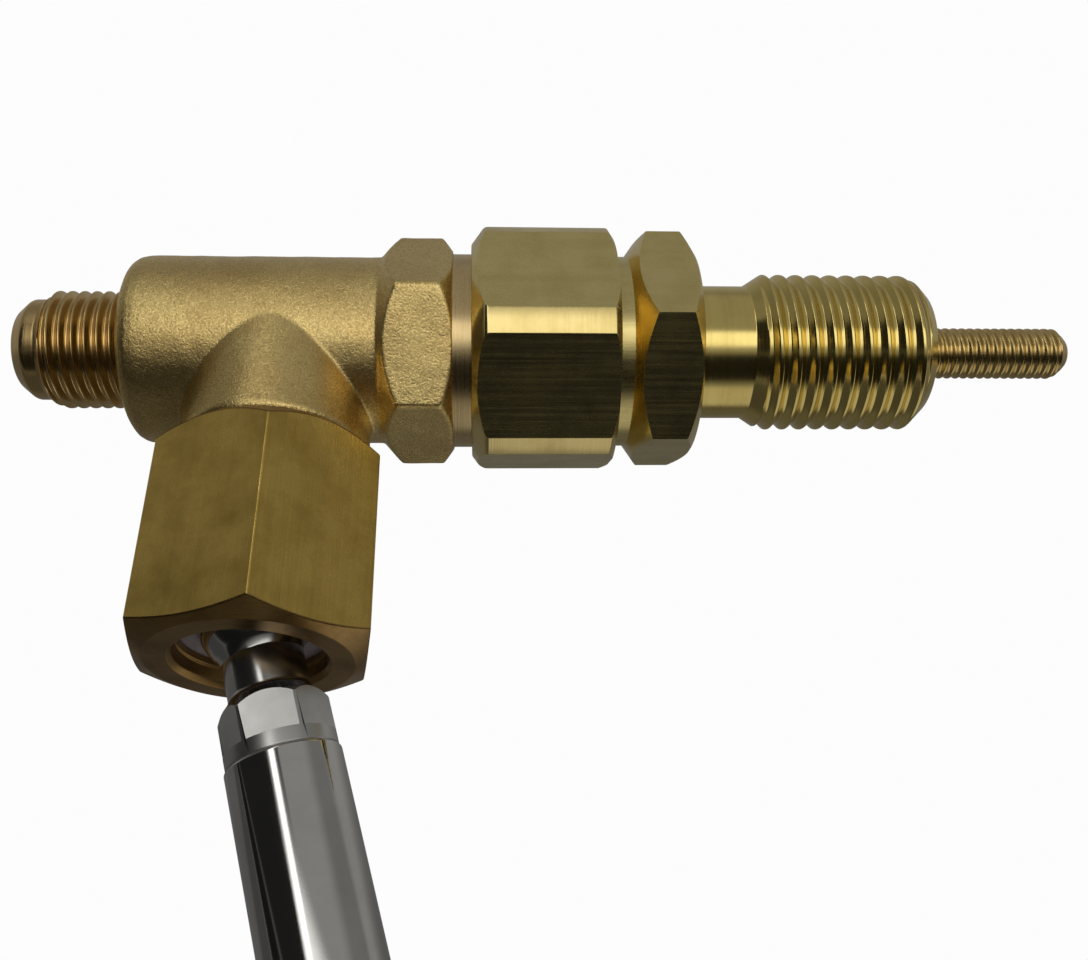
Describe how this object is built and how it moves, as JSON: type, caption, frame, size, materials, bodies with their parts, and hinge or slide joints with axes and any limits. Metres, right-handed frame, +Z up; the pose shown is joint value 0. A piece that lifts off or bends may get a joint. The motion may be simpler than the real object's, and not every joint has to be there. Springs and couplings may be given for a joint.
{
  "type": "needle valve with swivelling outlet pipe",
  "caption": "Brass angle needle valve: threaded inlet, screwed bonnet with panel thread and spindle, and a thin steel outlet pipe on a ball joint.",
  "frame": {"origin": "middle of the panel thread, on the axis of the run", "axes": "+X along the run towards the spindle's outer end, the way the valve goes through a panel; the inlet is at -X; +Z up, away from the outlet branch; +Y to the back"},
  "size_m": [0.1202, 0.0266, 0.1712],
  "materials": {
    "cast_brass": "sand-cast, matte grain",
    "turned_brass": "turned and lightly tarnished",
    "steel": "turned",
    "polished_steel": "polished stainless",
    "white_seal": "white PTFE",
    "black_seal": "matte"
  },
  "bodies": {
    "valve": {"valve_body": "cast_brass", "seat_bush": "steel", "bonnet_gasket": "white_seal", "bonnet": "turned_brass", "union_nut": "turned_brass", "lock_nut": "turned_brass", "outlet_gasket": "black_seal", "outlet_nut": "turned_brass", "disc_springs": "steel", "lower_ball_seat": "white_seal"},
    "needle_body": {"needle": "steel"},
    "spindle_body": {"spindle": "turned_brass", "inner_o_ring": "black_seal", "outer_o_ring": "black_seal", "needle_snap_ring": "steel"},
    "swivel": {"upper_ball_seat": "white_seal", "thrust_washer": "steel"},
    "pipe": {"ball_stem": "polished_steel", "outlet_pipe": "polished_steel", "tip_gasket": "white_seal", "nozzle_tip": "polished_steel"}
  },
  "joints": [
    {"name": "needle_lift", "type": "slide", "parent": "valve", "child": "needle_body", "axis": [1, 0, 0], "range_m": [0, 0.00495]},
    {"name": "spindle_turn", "type": "hinge", "parent": "needle_body", "child": "spindle_body", "pos_m": [0, 0, 0], "axis": [1, 0, 0], "range_deg": [0, 1189]},
    {"name": "pipe_swivel", "type": "hinge", "parent": "valve", "child": "swivel", "pos_m": [-0.06315, 0, -0.0335], "axis": [0, 0, 1], "continuous": true},
    {"name": "pipe_tilt", "type": "hinge", "parent": "swivel", "child": "pipe", "pos_m": [-0.06315, 0, -0.0335], "axis": [-0.1513, 0.9885, 0], "range_deg": [-4, 35.5]}
  ],
  "couplings": [
    {"joint": "spindle_turn", "follows": "needle_lift", "rad_per_m": 4188.8}
  ]
}
